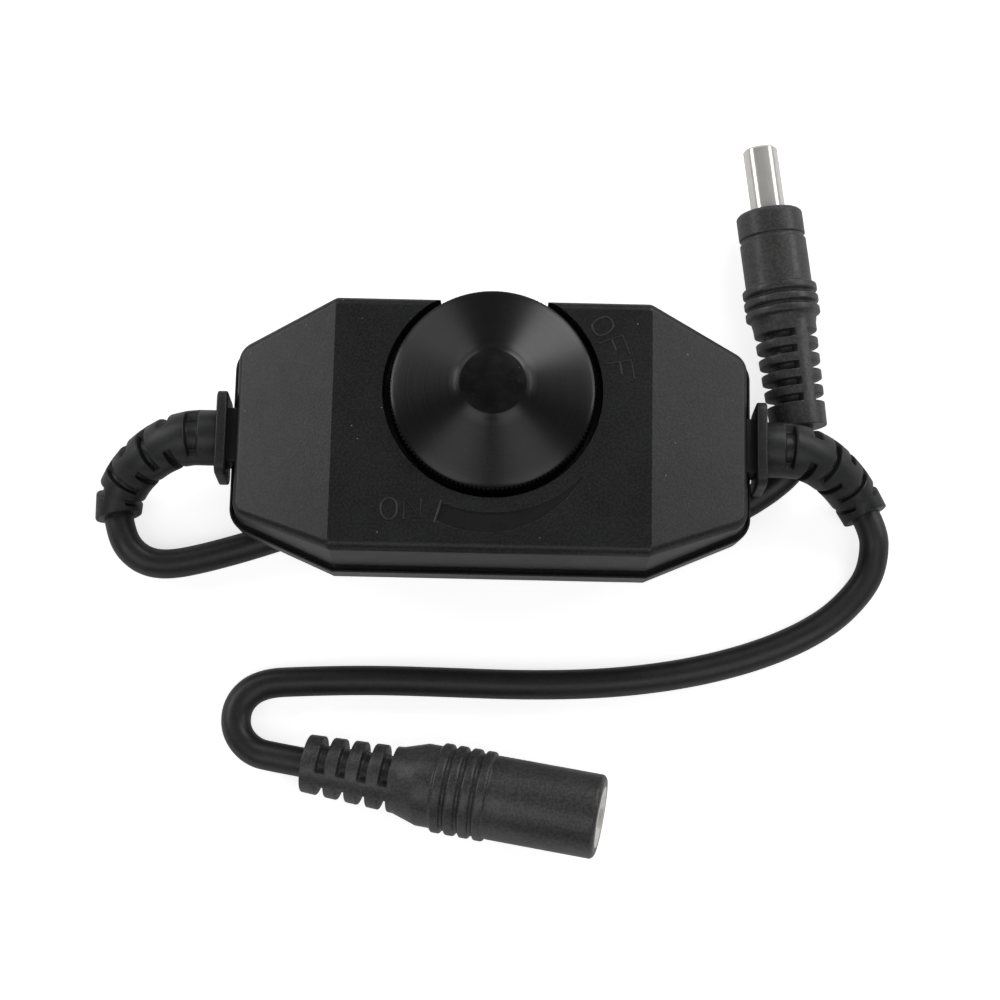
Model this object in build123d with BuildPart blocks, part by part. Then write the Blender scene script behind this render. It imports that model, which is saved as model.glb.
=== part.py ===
from build123d import *
import os
from math import atan, cos, degrees, pi, radians, sin, tan

# In-line rotary dimmer for a low-voltage lighting strip, in millimetres.
# The origin is on the surface that the dimmer lies on, under the middle of its housing.
# X runs along the housing from the input end to the output end, and Z points up.
# The housing rests on the ends of its two strain reliefs and on its own input lead.

# Leads
lead_diameter = 4.6
lead_to_housing = 0.2
arc_share = 0.45
tip_run = 2.8
plug_tail_run = 3.4
socket_tail_run = 4.4

# Housing
housing_length = 80.0
housing_width = 41.4
flat_length = 48.0
end_width = 27.4
wall = 2.0
base_height = 8.2
cover_height = 11.8
facet_angle = 24.0
draft = 5.0
cover_draft = 1.0
cover_inset = 0.85
corner_radius = 4.0
rim_radius = 1.4
base_radius = 3.0
parting_groove_height = 0.6
parting_groove_depth = 0.5
parting_lip = 0.4
parting_trench_depth = 0.8

# Knob and the pocket that it turns in
knob_offset = 5.2
knob_radius = 15.6
knob_face_radius = 15.1
knob_disc_radius = 5.0
knob_disc_chamfer = 0.8
knob_rim_above_face = 1.3
knob_cone_rise = 3.4
knob_skirt = 1.8
knob_top = 2.0
knob_bevel = 0.3
knob_hub_radius = 5.2
knurl_teeth = 138
knurl_depth = 0.35
knurl_below_rim = 0.8
knob_to_floor = 0.6
pocket_clearance = 1.0
pocket_depth = 4.5
pocket_floor = 1.8
pocket_wall = 1.6

# Sunk crescent that widens towards ON
dial_inner_radius = 18.9
dial_outer_radius = 16.5
dial_outer_centre = (-0.9, -0.2)
dial_depth = 0.25
dial_start = (-7.7, -13.6)
dial_start_lean = 14.0

# Potentiometer
shaft_radius = 3.0
shaft_flat = 1.5
shaft_foot_depth = 4.5
shaft_fit = 0.04
knob_bore_fit = 0.04
knob_bore_end = 1.3
can_radius = 8.3
can_height = 8.1
can_lip = 0.35
can_lip_height = 1.4
bushing_wall = 0.45
bushing_height = 4.8
bushing_hole_fit = 0.1
washer_radius = 5.9
washer_thickness = 0.5
nut_across = 10.0
nut_height = 2.0
hub_to_bushing = 0.5
terminal_pitch = 5.0
terminal_width = 1.2
terminal_thickness = 0.5
terminal_wafer = (13.0, 3.6, 1.2)
terminal_reach = 0.6

# Circuit board and what it carries
board_length = 54.0
board_width = 20.0
board_thickness = 1.6
board_post_height = 1.5
board_post_radius = 1.5
board_post_places = (23.0, 7.5)
transistor_body = (9.0, 10.0, 4.4)
transistor_tab = (6.0, 10.0, 1.3)
transistor_place = (-13.7, -4.0)
transistor_hole_radius = 1.8
chip_body = (9.6, 6.4, 3.3)
chip_place = (15.3, -5.2)
chip_lift = 0.5
chip_leg_pitch = 2.54
chip_leg_width = 0.6
capacitor_radius = 3.15
capacitor_height = 7.5
capacitor_place = (13.5, 5.2)
axial_lead_radius = 0.35
axial_lift = 0.3
diode_radius = 1.35
diode_length = 5.0
diode_span = 7.6
diode_place = (23.0, -4.6)
resistor_radius = 0.95
resistor_length = 4.4
resistor_span = 7.0
resistor_places = ((18.2, 4.5), (20.7, 4.5), (23.2, 4.5))
wire_radius = 0.65
wire_inset = 1.6
wire_spread = 1.2
wire_land = 4.0

# Screws that hold the two shells together
screw_places = (27.0, 13.6)
screw_radius = 1.05
screw_fit = 0.02
screw_passage = 0.15
screw_length = 11.0
screw_head_radius = 2.1
screw_head_height = 1.6
screw_head_room = 0.2
screw_sink = 1.6
screw_recess_radius = 0.9
screw_recess_depth = 0.9
boss_radius = 2.9
pilot_end = 0.5

# Strain reliefs on the housing
flange_width = 13.2
flange_height = 9.6
flange_thickness = 1.6
flange_gap = 0.6
flange_corner = 1.6
neck_width = 8.4
neck_height = 5.4
neck_fit = 0.1
inner_flange_width = 11.0
inner_flange_height = 6.8
inner_flange_thickness = 1.4
inner_flange_gap = 0.5
relief_boss_radius = 4.3
relief_boss_length = 2.9
relief_tip_radius = 3.65
relief_core_radius = 2.9
relief_slots = 6
relief_ring = 2.05
relief_tip_length = 3.1
relief_web = 3.8
relief_web_inset = 0.1
left_tip_reach = 13.2
left_tip_y = -10.7
left_tip_heading = -78.0
left_handles = (6.4, 6.0)
right_tip_reach = 14.1
right_tip_y = -8.0
right_tip_heading = -64.0
right_handles = (6.6, 5.2)

# Raised grip ribs on the plug and the socket: the share of their pitch that the gap takes
rib_gap_share = 0.3

# Male plug on the input lead
plug_tail_from_wall = 8.7
plug_tail_y = 5.9
plug_heading = 98.0
plug_tail_radius = 4.5
plug_slotted_radius = 5.05
plug_slotted_length = 16.6
plug_slots = 5
plug_slot_start = 4.3
plug_slot_pitch = 2.6
plug_slot_width = 1.2
plug_core_radius = 3.2
plug_web = 2.2
plug_web_turn = -67.0
plug_ribs = 3
plug_rib_start = 17.9
plug_rib_pitch = 1.85
plug_rib_radius = 5.95
plug_body_radius = 5.3
plug_groove_from_front = 4.2
plug_groove_width = 0.7
plug_groove_depth = 0.3
plug_length = 35.5
plug_front_chamfer = 0.5
barrel_radius = 2.75
barrel_wall = 0.45
barrel_root_radius = 2.5
barrel_length = 10.7
barrel_seat = 4.0
barrel_lip = 0.35
inner_contact_radius = 1.05
inner_contact_wall = 0.35
inner_contact_recess = 0.9
insulator_recess = 0.25
nested_fit = 0.03

# Female socket on the output lead
socket_tail = (-27.3, -48.9)
socket_heading = -10.0
socket_tail_radius = 4.45
socket_slotted_radius = 5.1
socket_slotted_length = 14.6
socket_slots = 4
socket_slot_start = 3.1
socket_slot_pitch = 3.3
socket_slot_width = 1.4
socket_core_radius = 3.2
socket_web = 2.4
socket_web_turn = -52.0
socket_flare_radius = 6.3
socket_ribs = 4
socket_rib_start = 20.6
socket_rib_pitch = 2.2
socket_rib_radius = 6.85
socket_body_radius = 6.4
socket_length = 45.9
socket_front_chamfer = 0.5
shell_radius = 4.7
shell_bore_radius = 3.0
shell_depth = 10.5
shell_lip = 0.5
socket_insulator_thickness = 2.0
socket_pin_radius = 1.0
socket_pin_below_mouth = 1.5
socket_pin_tip = 0.4
spring_width = 1.6
spring_thickness = 0.3
spring_length = 7.0
spring_notch_fit = 0.1

# Levels and places that follow from the sizes above
base_z = lead_diameter + lead_to_housing
parting_z = base_z + base_height
face_z = parting_z + cover_height
pocket_z = face_z - pocket_depth
pocket_underside_z = pocket_z - pocket_floor
pocket_radius = knob_radius + pocket_clearance
board_top_z = base_z + wall + board_post_height + board_thickness
can_foot_z = pocket_underside_z - can_height
bushing_top_z = pocket_underside_z + bushing_height
shaft_foot_z = pocket_underside_z - shaft_foot_depth
knob_foot_z = pocket_z + knob_to_floor
knob_rim_z = face_z + knob_rim_above_face
knob_peak_z = knob_rim_z + knob_cone_rise
hub_foot_z = bushing_top_z + hub_to_bushing
bore_top_z = knob_peak_z - knob_bore_end
screw_seat_z = base_z + screw_sink + screw_head_height
lead_z = lead_diameter / 2
bushing_radius = shaft_radius + bushing_wall
end_wall_x = housing_length / 2
inner_flange_x = end_wall_x - cover_inset - wall - inner_flange_gap
relief_start_x = end_wall_x + flange_gap + flange_thickness + relief_boss_length
left_tip_x = -relief_start_x - left_tip_reach
right_tip_x = relief_start_x + right_tip_reach
plug_tail_x = end_wall_x + plug_tail_from_wall
knob_axis = Axis((0, knob_offset, 0), (0, 0, 1))
corner_signs = ((1, 1), (-1, 1), (-1, -1), (1, -1))


def keep(piece, label):
    """Name a finished piece and write it as its own file."""
    piece.part.label = label
    export_step(piece.part, f"parts/{label}.step")


def housing_outline(inset=0.0):
    """Plan of the housing at its parting line, less an inset: a long octagon with round corners."""
    right = [(housing_length / 2, end_width / 2), (flat_length / 2, housing_width / 2)]
    far = right + [(-x, y) for x, y in reversed(right)]
    near = [(-x, -y) for x, y in far]
    with BuildSketch(Plane.XY.offset(parting_z)) as outline:
        with BuildLine():
            Polyline(far + near, close=True)
        make_face()
        columns = outline.vertices().group_by(Axis.X)
        fillet(columns[0] + columns[-1], corner_radius)
        if inset:
            offset(amount=-inset)
    return outline.sketch


def end_wedges(depth=0.0):
    """Side view of what the sloping end facets take off, with the facets set in by a depth."""
    start = flat_length / 2 - depth * tan(radians(facet_angle) / 2)
    top = face_z - depth
    run = housing_length / 2
    with BuildSketch(Plane.XZ) as wedges:
        with BuildLine():
            Polyline(
                (start, top),
                (start + run, top - run * tan(radians(facet_angle))),
                (start + run, top + wall),
                (start, top + wall),
                close=True,
            )
        make_face()
        mirror(about=Plane.YZ)
    return wedges.sketch


def neck_opening():
    """Section of the opening in an end wall that a strain relief's neck passes through."""
    with BuildSketch(Plane.YZ.offset(end_wall_x)) as opening:
        with Locations((0, parting_z)):
            Rectangle(neck_width + 2 * neck_fit, neck_height + 2 * neck_fit)
    return opening.sketch


def axis_frame(tail, heading, tail_radius, rib_radius, rib_start):
    """Plane square to a moulding that lies on its tail and ribs; its Z runs to the nose."""
    pitch = atan((rib_radius - tail_radius) / rib_start)
    level = radians(heading)
    forward = Vector(cos(pitch) * cos(level), cos(pitch) * sin(level), sin(pitch))
    side = Vector(sin(level), -cos(level), 0)
    origin = Vector(*tail, tail_radius * cos(pitch))
    return Plane(origin=origin, x_dir=side, z_dir=forward)


def profile_plane(frame):
    """Plane through a frame's axis, for the half profile of a turned piece."""
    return Plane(origin=frame.origin, x_dir=frame.z_dir, z_dir=frame.x_dir)


def turned_face(frame, points):
    """Half profile of a turned piece, as distances along the axis and radii."""
    with BuildSketch(profile_plane(frame)) as profile:
        with BuildLine():
            Polyline(points, close=True)
        make_face()
    return profile.sketch


def tube_face(frame, start, end, outer, inner):
    """Half profile of a plain tube round a frame's axis."""
    return turned_face(frame, [(start, inner), (end, inner), (end, outer), (start, outer)])


def rib_points(count, start, pitch, outer, root):
    """Profile points of a row of raised grip ribs with bevelled sides."""
    gap = rib_gap_share * pitch
    points = []
    for rib in range(count):
        foot = start + rib * pitch
        points += [
            (foot, root),
            (foot + gap / 2, outer),
            (foot + pitch - gap, outer),
            (foot + pitch - gap / 2, root),
        ]
    return points


def slot_face(plane, outer, core, web, web_turn):
    """Section of one slot round a slotted relief, which leaves a core and two webs."""
    with BuildSketch(plane) as slot:
        Circle(outer)
        Circle(core, mode=Mode.SUBTRACT)
        Rectangle(2 * outer, web, rotation=web_turn, mode=Mode.SUBTRACT)
    return slot.sketch


def bend_radii(points):
    """Radius of the arc at each inner point of a route, as large as its runs allow."""
    radii = []
    for before, here, after in zip(points, points[1:], points[2:]):
        turn = radians((here - before).get_angle(after - here))
        shorter = min((here - before).length, (after - here).length)
        radii.append(arc_share * shorter / tan(turn / 2))
    return radii


def report_tube(label, tube, route, radii, diameter):
    """Print a lead's bend radii and how its volume agrees with its section and length."""
    section = pi * diameter**2 / 4
    print(label, "radii", [round(radius, 1) for radius in radii])
    print(label, "length", round(route.length, 1), "volume", round(tube.volume, 2))
    print(label, "section times length", round(section * route.length, 2))


os.makedirs("parts", exist_ok=True)

# Top shell: the cavity first, which leaves the knob's pocket and the screw bosses standing
with BuildPart() as cover_cavity:
    extrude(housing_outline(cover_inset + wall), amount=cover_height - wall, taper=cover_draft)
    extrude(end_wedges(wall), amount=housing_width, both=True, mode=Mode.SUBTRACT)
    with BuildSketch(Plane.XY.offset(pocket_underside_z)):
        with Locations((0, knob_offset)):
            Circle(pocket_radius + pocket_wall)
    extrude(amount=pocket_depth + pocket_floor, mode=Mode.SUBTRACT)
    with BuildSketch(Plane.XY.offset(parting_z)):
        for across, along in corner_signs:
            with Locations((across * screw_places[0], along * screw_places[1])):
                Circle(boss_radius)
    extrude(amount=cover_height, mode=Mode.SUBTRACT)

with BuildPart() as top_shell:
    extrude(housing_outline(cover_inset), amount=cover_height, taper=cover_draft)
    extrude(end_wedges(), amount=housing_width, both=True, mode=Mode.SUBTRACT)
    tops = top_shell.faces().filter_by(lambda face: face.normal_at().Z > 0.5)
    rim = tops.edges().filter_by(lambda edge: abs(abs(edge.center().X) - flat_length / 2) > 0.01)
    fillet(rim, rim_radius)
    add(cover_cavity.part, mode=Mode.SUBTRACT)
    with BuildSketch(Plane.XY.offset(pocket_z)):
        with Locations((0, knob_offset)):
            Circle(pocket_radius)
    extrude(amount=2 * pocket_depth, mode=Mode.SUBTRACT)
    with BuildSketch(Plane.XY.offset(pocket_underside_z)):
        with Locations((0, knob_offset)):
            Circle(bushing_radius + bushing_hole_fit)
    extrude(amount=pocket_floor, mode=Mode.SUBTRACT)
    # The crescent lies outside the pocket's lip and ends in a straight edge at ON
    with BuildSketch(Plane.XY.offset(face_z)):
        with Locations(dial_outer_centre):
            Circle(dial_outer_radius)
        with Locations((0, knob_offset)):
            Circle(dial_inner_radius, mode=Mode.SUBTRACT)
        with Locations(Location((*dial_start, 0), (0, 0, -dial_start_lean))):
            Rectangle(
                housing_length,
                2 * housing_width,
                align=(Align.MAX, Align.CENTER),
                mode=Mode.SUBTRACT,
            )
    extrude(amount=-dial_depth, mode=Mode.SUBTRACT)
    # Groove all round above the parting line
    with BuildSketch(Plane.XY.offset(parting_z)):
        add(housing_outline(cover_inset))
        add(housing_outline(cover_inset + parting_groove_depth), mode=Mode.SUBTRACT)
    extrude(amount=parting_groove_height, mode=Mode.SUBTRACT)
    with BuildSketch(Plane.XY.offset(parting_z)):
        for across, along in corner_signs:
            with Locations((across * screw_places[0], along * screw_places[1])):
                Circle(screw_radius + screw_fit)
    extrude(amount=screw_seat_z + screw_length - parting_z + pilot_end, mode=Mode.SUBTRACT)
    for end in (neck_opening(), mirror(neck_opening(), about=Plane.YZ, mode=Mode.PRIVATE)):
        extrude(end, amount=end_wall_x - inner_flange_x, both=True, mode=Mode.SUBTRACT)
keep(top_shell, "top_shell")

# Bottom shell: its cavity leaves the screw sleeves and the posts under the board standing
with BuildPart() as base_cavity:
    extrude(housing_outline(wall), amount=base_height - wall, dir=(0, 0, -1), taper=draft)
    with BuildSketch(Plane.XY.offset(base_z)):
        for across, along in corner_signs:
            with Locations((across * screw_places[0], along * screw_places[1])):
                Circle(boss_radius)
    extrude(amount=base_height, mode=Mode.SUBTRACT)
    with BuildSketch(Plane.XY.offset(base_z)):
        for across, along in corner_signs:
            with Locations((across * board_post_places[0], along * board_post_places[1])):
                Circle(board_post_radius)
    extrude(amount=wall + board_post_height, mode=Mode.SUBTRACT)

with BuildPart() as bottom_shell:
    extrude(housing_outline(), amount=base_height, dir=(0, 0, -1), taper=draft)
    fillet(bottom_shell.faces().sort_by(Axis.Z)[0].edges(), base_radius)
    add(base_cavity.part, mode=Mode.SUBTRACT)
    # Trench round the top shell's foot, inside a thin outer lip
    with BuildSketch(Plane.XY.offset(parting_z)):
        add(housing_outline(parting_lip))
        add(housing_outline(cover_inset + parting_groove_depth), mode=Mode.SUBTRACT)
    extrude(amount=-parting_trench_depth, mode=Mode.SUBTRACT)
    with BuildSketch(Plane.XY.offset(base_z)):
        for across, along in corner_signs:
            with Locations((across * screw_places[0], along * screw_places[1])):
                Circle(screw_radius + screw_passage)
    extrude(amount=base_height, mode=Mode.SUBTRACT)
    with BuildSketch(Plane.XY.offset(base_z)):
        for across, along in corner_signs:
            with Locations((across * screw_places[0], along * screw_places[1])):
                Circle(screw_head_radius + screw_head_room)
    extrude(amount=screw_sink + screw_head_height, mode=Mode.SUBTRACT)
    for end in (neck_opening(), mirror(neck_opening(), about=Plane.YZ, mode=Mode.PRIVATE)):
        extrude(end, amount=end_wall_x - inner_flange_x, both=True, mode=Mode.SUBTRACT)
keep(bottom_shell, "bottom_shell")

# Four screws from below, each with a cross recess in its head
for number, (across, along) in enumerate(corner_signs, start=1):
    foot = (across * screw_places[0], along * screw_places[1])
    with BuildPart() as housing_screw:
        with BuildSketch(Plane.XY.offset(screw_seat_z)):
            with Locations(foot):
                Circle(screw_head_radius)
        extrude(amount=-screw_head_height)
        chamfer(housing_screw.faces().sort_by(Axis.Z)[0].edges(), screw_head_height / 4)
        with BuildSketch(Plane.XY.offset(screw_seat_z)):
            with Locations(foot):
                Circle(screw_radius)
        extrude(amount=screw_length)
        with BuildSketch(Plane.XY.offset(screw_seat_z - screw_head_height)):
            with Locations(foot):
                Rectangle(2 * screw_recess_radius, screw_recess_radius / 2)
                Rectangle(screw_recess_radius / 2, 2 * screw_recess_radius)
        extrude(amount=screw_recess_depth, mode=Mode.SUBTRACT)
    keep(housing_screw, f"housing_screw_{number}")

# Circuit board on its four posts
with BuildPart() as circuit_board:
    with BuildSketch(Plane.XY.offset(board_top_z)):
        Rectangle(board_length, board_width)
    extrude(amount=-board_thickness)
    fillet(circuit_board.edges().filter_by(Axis.Z), board_thickness)
keep(circuit_board, "circuit_board")

# Potentiometer: a can hung from the pocket floor, with a terminal wafer down to the board
with BuildPart() as potentiometer_body:
    with BuildSketch(Plane.XY.offset(can_foot_z)):
        with Locations((0, knob_offset)):
            Circle(can_radius)
    extrude(amount=can_height)
    with BuildSketch(Plane.XY.offset(pocket_underside_z - can_lip_height)):
        with Locations((0, knob_offset)):
            Circle(can_radius)
            Circle(can_radius - can_lip, mode=Mode.SUBTRACT)
    extrude(amount=can_lip_height, mode=Mode.SUBTRACT)
    with BuildSketch(Plane.XY.offset(shaft_foot_z - shaft_fit)):
        with Locations((0, knob_offset)):
            Circle(shaft_radius + shaft_fit)
    extrude(amount=shaft_foot_depth + shaft_fit, mode=Mode.SUBTRACT)
    wafer_length, wafer_depth, wafer_thickness = terminal_wafer
    wafer_edge = knob_offset - can_radius - terminal_reach
    with BuildSketch(Plane.XY.offset(can_foot_z + can_lip_height)):
        with Locations((0, wafer_edge)):
            Rectangle(wafer_length, wafer_depth, align=(Align.CENTER, Align.MIN))
    extrude(amount=wafer_thickness)
    with BuildSketch(Plane.XY.offset(board_top_z)):
        with Locations((0, wafer_edge + terminal_thickness / 2)):
            with GridLocations(terminal_pitch, 1, 3, 1):
                Rectangle(terminal_width, terminal_thickness)
    extrude(amount=can_foot_z + can_lip_height + wafer_thickness - board_top_z)
keep(potentiometer_body, "potentiometer_body")

with BuildPart() as potentiometer_bushing:
    with BuildSketch(Plane.XY.offset(pocket_underside_z)):
        with Locations((0, knob_offset)):
            Circle(bushing_radius)
            Circle(shaft_radius + shaft_fit, mode=Mode.SUBTRACT)
    extrude(amount=bushing_height)
keep(potentiometer_bushing, "potentiometer_bushing")

with BuildPart() as potentiometer_shaft:
    with BuildSketch(Plane.XY.offset(shaft_foot_z)):
        with Locations((0, knob_offset)):
            Circle(shaft_radius)
    extrude(amount=bore_top_z - knob_bore_fit - shaft_foot_z)
    with BuildSketch(Plane.XY.offset(hub_foot_z)):
        with Locations((shaft_flat, knob_offset)):
            Rectangle(shaft_radius, 2 * shaft_radius, align=(Align.MIN, Align.CENTER))
    extrude(amount=knob_peak_z - hub_foot_z, mode=Mode.SUBTRACT)
keep(potentiometer_shaft, "potentiometer_shaft")

with BuildPart() as bushing_washer:
    with BuildSketch(Plane.XY.offset(pocket_z)):
        with Locations((0, knob_offset)):
            Circle(washer_radius)
            Circle(bushing_radius + bushing_hole_fit, mode=Mode.SUBTRACT)
    extrude(amount=washer_thickness)
keep(bushing_washer, "bushing_washer")

with BuildPart() as bushing_nut:
    with BuildSketch(Plane.XY.offset(pocket_z + washer_thickness)):
        with Locations((0, knob_offset)):
            RegularPolygon(nut_across / 2, 6, major_radius=False)
            Circle(bushing_radius + nested_fit, mode=Mode.SUBTRACT)
    extrude(amount=nut_height)
keep(bushing_nut, "bushing_nut")

# Knob: a turned cone with a knurled skirt, hollow over the nut, on the flatted shaft
knob_root_radius = knob_radius - knurl_depth
knurl_top_z = knob_rim_z - knurl_below_rim
cone_run = knob_face_radius - knob_disc_radius - knob_disc_chamfer
cone_slope = (knob_cone_rise - knob_disc_chamfer / 2) / cone_run
roof_radius = knob_radius - knob_skirt
roof_edge_z = knob_rim_z - knob_top - knob_bevel
roof_hub_z = roof_edge_z + cone_slope * (roof_radius - knob_hub_radius)


def tooth_point(half_turn):
    """Tip of a knurl tooth on the even counts, and the root after it on the odd ones."""
    radius = knob_root_radius if half_turn % 2 else knob_radius
    return Vector(radius, 0).rotate(Axis.Z, 180 * half_turn / knurl_teeth)


with BuildPart() as knob:
    with BuildSketch(Plane.XZ.offset(-knob_offset)):
        with BuildLine():
            Polyline(
                (0, hub_foot_z),
                (knob_hub_radius, hub_foot_z),
                (knob_hub_radius, roof_hub_z),
                (roof_radius, roof_edge_z),
                (roof_radius, knob_foot_z),
                (knob_root_radius, knob_foot_z),
                (knob_root_radius, knob_rim_z - knob_bevel),
                (knob_face_radius, knob_rim_z),
                (knob_disc_radius + knob_disc_chamfer, knob_peak_z - knob_disc_chamfer / 2),
                (knob_disc_radius, knob_peak_z),
                (0, knob_peak_z),
                close=True,
            )
        make_face()
    revolve(axis=knob_axis)
    with BuildSketch(Plane((0, knob_offset, knob_foot_z))):
        with BuildLine():
            half_turns = range(2 * knurl_teeth)
            Polyline([tooth_point(half_turn) for half_turn in half_turns], close=True)
        make_face()
        Circle((knob_root_radius + roof_radius) / 2, mode=Mode.SUBTRACT)
    extrude(amount=knurl_top_z - knob_foot_z)
    with BuildSketch(Plane.XY.offset(hub_foot_z)):
        with Locations((0, knob_offset)):
            Circle(shaft_radius + knob_bore_fit)
        with Locations((shaft_flat + knob_bore_fit, knob_offset)):
            Rectangle(
                shaft_radius,
                2 * knob_hub_radius,
                align=(Align.MIN, Align.CENTER),
                mode=Mode.SUBTRACT,
            )
    extrude(amount=bore_top_z - hub_foot_z, mode=Mode.SUBTRACT)
keep(knob, "knob")

# Power transistor lying on the board, with its tab towards the input end
body_length, body_width, body_height = transistor_body
tab_length, tab_width, tab_thickness = transistor_tab
tab_edge = transistor_place[0] - body_length / 2
with BuildPart() as power_transistor:
    with BuildSketch(Plane.XY.offset(board_top_z)):
        with Locations(transistor_place):
            Rectangle(body_length, body_width)
    extrude(amount=body_height)
    chamfer(power_transistor.faces().sort_by(Axis.Z)[-1].edges(), tab_thickness / 3)
    with BuildSketch(Plane.XY.offset(board_top_z)):
        with Locations((tab_edge, transistor_place[1])):
            Rectangle(tab_length, tab_width, align=(Align.MAX, Align.CENTER))
        with Locations((tab_edge - tab_length / 2, transistor_place[1])):
            Circle(transistor_hole_radius, mode=Mode.SUBTRACT)
    extrude(amount=tab_thickness)
    with BuildSketch(Plane.XY.offset(board_top_z)):
        with Locations((tab_edge + body_length + tab_thickness, transistor_place[1])):
            with GridLocations(1, chip_leg_pitch, 1, 3):
                Rectangle(2 * tab_thickness, chip_leg_width)
    extrude(amount=tab_thickness)
keep(power_transistor, "power_transistor")

# Control chip with four legs on each long side
chip_length, chip_width, chip_height = chip_body
with BuildPart() as control_chip:
    with BuildSketch(Plane.XY.offset(board_top_z + chip_lift)):
        with Locations(chip_place):
            Rectangle(chip_length, chip_width)
    extrude(amount=chip_height)
    with BuildSketch(Plane.XY.offset(board_top_z)):
        with Locations(chip_place):
            with GridLocations(chip_leg_pitch, chip_width + chip_leg_width, 4, 2):
                Rectangle(chip_leg_width, chip_leg_width)
    extrude(amount=chip_lift + chip_height / 2)
keep(control_chip, "control_chip")

with BuildPart() as capacitor:
    with BuildSketch(Plane.XY.offset(board_top_z)):
        with Locations(capacitor_place):
            Circle(capacitor_radius)
    extrude(amount=capacitor_height)
    fillet(capacitor.faces().sort_by(Axis.Z)[-1].edges(), capacitor_radius / 6)
keep(capacitor, "capacitor")


def axial_part(place, radius, length, span):
    """A round body along Y with a lead from each end bent down to the board."""
    axis_z = board_top_z + axial_lift + radius
    with BuildPart() as body:
        with BuildSketch(Plane.XZ.offset(-place[1])):
            with Locations((place[0], axis_z)):
                Circle(radius)
        extrude(amount=length / 2, both=True)
        with BuildSketch(Plane.XZ.offset(-place[1])):
            with Locations((place[0], axis_z)):
                Circle(axial_lead_radius)
        extrude(amount=span / 2, both=True)
        with BuildSketch(Plane.XY.offset(board_top_z)):
            with Locations(place):
                with GridLocations(1, span, 1, 2):
                    Circle(axial_lead_radius)
        extrude(amount=axis_z - board_top_z)
    return body


keep(axial_part(diode_place, diode_radius, diode_length, diode_span), "diode")
for number, place in enumerate(resistor_places, start=1):
    keep(axial_part(place, resistor_radius, resistor_length, resistor_span), f"resistor_{number}")

# Two wires from each strain relief to its end of the board
for side, name in ((-1, "input_wire"), (1, "output_wire")):
    for number, hand in enumerate((1, -1), start=1):
        land_x = board_length / 2 - wire_inset
        wire_points = [
            Vector(side * (inner_flange_x - inner_flange_thickness), hand * wire_spread, parting_z),
            Vector(side * (inner_flange_x - 3 * wire_inset), hand * wire_spread, parting_z),
            Vector(side * (land_x + 2 * wire_inset), hand * wire_land, parting_z),
            Vector(side * land_x, hand * wire_land, parting_z),
            Vector(side * land_x, hand * wire_land, board_top_z),
        ]
        with BuildPart() as wire:
            with BuildLine() as wire_route:
                FilletPolyline(wire_points, radius=bend_radii(wire_points))
            with BuildSketch(Plane(origin=wire_route.wire() @ 0, z_dir=wire_route.wire() % 0)):
                Circle(wire_radius)
            sweep()
        keep(wire, f"{name}_{number}")


def relief_route(side, tip, heading, handles):
    """Centre line of a strain relief, from its boss down to its tip on the surface."""
    outward = Vector(side, 0, 0)
    way = Vector(cos(radians(heading)), sin(radians(heading)), 0)
    start = Vector(side * relief_start_x, 0, parting_z)
    end = Vector(*tip, relief_tip_radius)
    with BuildLine() as route:
        Bezier(start, start + outward * handles[0], end - way * handles[1], end)
    return route.edge()


def square_plane(route, distance):
    """Plane square to a route at a distance along it, with its X level."""
    ahead = route.tangent_at(distance, position_mode=PositionMode.LENGTH)
    origin = route.position_at(distance, position_mode=PositionMode.LENGTH)
    return Plane(origin=origin, x_dir=Vector(-ahead.Y, ahead.X, 0), z_dir=ahead)


def strain_relief(side, route):
    """Flange, neck and boss in the end wall, then rings on a core, joined by crossed webs."""
    slot = (route.length - relief_tip_length - (relief_slots - 1) * relief_ring) / relief_slots
    taper = (relief_boss_radius - relief_tip_radius) / route.length
    wall_plane = Plane(origin=(0, 0, parting_z), x_dir=(0, 1, 0), z_dir=(side, 0, 0))
    flange_start = end_wall_x + flange_gap
    with BuildPart() as relief:
        with BuildSketch(wall_plane.offset(inner_flange_x - inner_flange_thickness)):
            RectangleRounded(inner_flange_width, inner_flange_height, flange_corner)
        extrude(amount=inner_flange_thickness)
        with BuildSketch(wall_plane.offset(inner_flange_x)):
            Rectangle(neck_width, neck_height)
        extrude(amount=flange_start - inner_flange_x)
        with BuildSketch(wall_plane.offset(flange_start)):
            RectangleRounded(flange_width, flange_height, flange_corner)
        extrude(amount=flange_thickness)
        fillet(relief.faces().sort_by(Axis((0, 0, 0), (side, 0, 0)))[-1].edges(), flange_thickness / 4)
        with BuildSketch(wall_plane.offset(flange_start + flange_thickness)):
            Circle(relief_boss_radius)
        extrude(amount=relief_boss_length)
        with BuildLine():
            add(route)
        with BuildSketch(square_plane(route, 0)):
            Circle(relief_core_radius)
        sweep()
        for ring in range(relief_slots):
            ring_start = slot + ring * (slot + relief_ring)
            ring_length = relief_ring if ring < relief_slots - 1 else relief_tip_length
            if ring_length == relief_tip_length:
                with BuildSketch(square_plane(route, route.length)):
                    Circle(relief_tip_radius)
                extrude(amount=-ring_length, taper=-degrees(taper))
            else:
                with BuildSketch(square_plane(route, ring_start + ring_length / 2)):
                    Circle(relief_boss_radius - taper * (ring_start + ring_length / 2))
                extrude(amount=ring_length / 2, both=True)
            web_radius = relief_boss_radius - taper * ring_start - relief_web_inset
            with BuildSketch(square_plane(route, ring_start - slot / 2)):
                Circle(web_radius)
                Rectangle(3 * web_radius, relief_web, rotation=90 * (ring % 2), mode=Mode.INTERSECT)
            extrude(amount=slot / 2 + relief_web_inset, both=True)
    return relief


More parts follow.
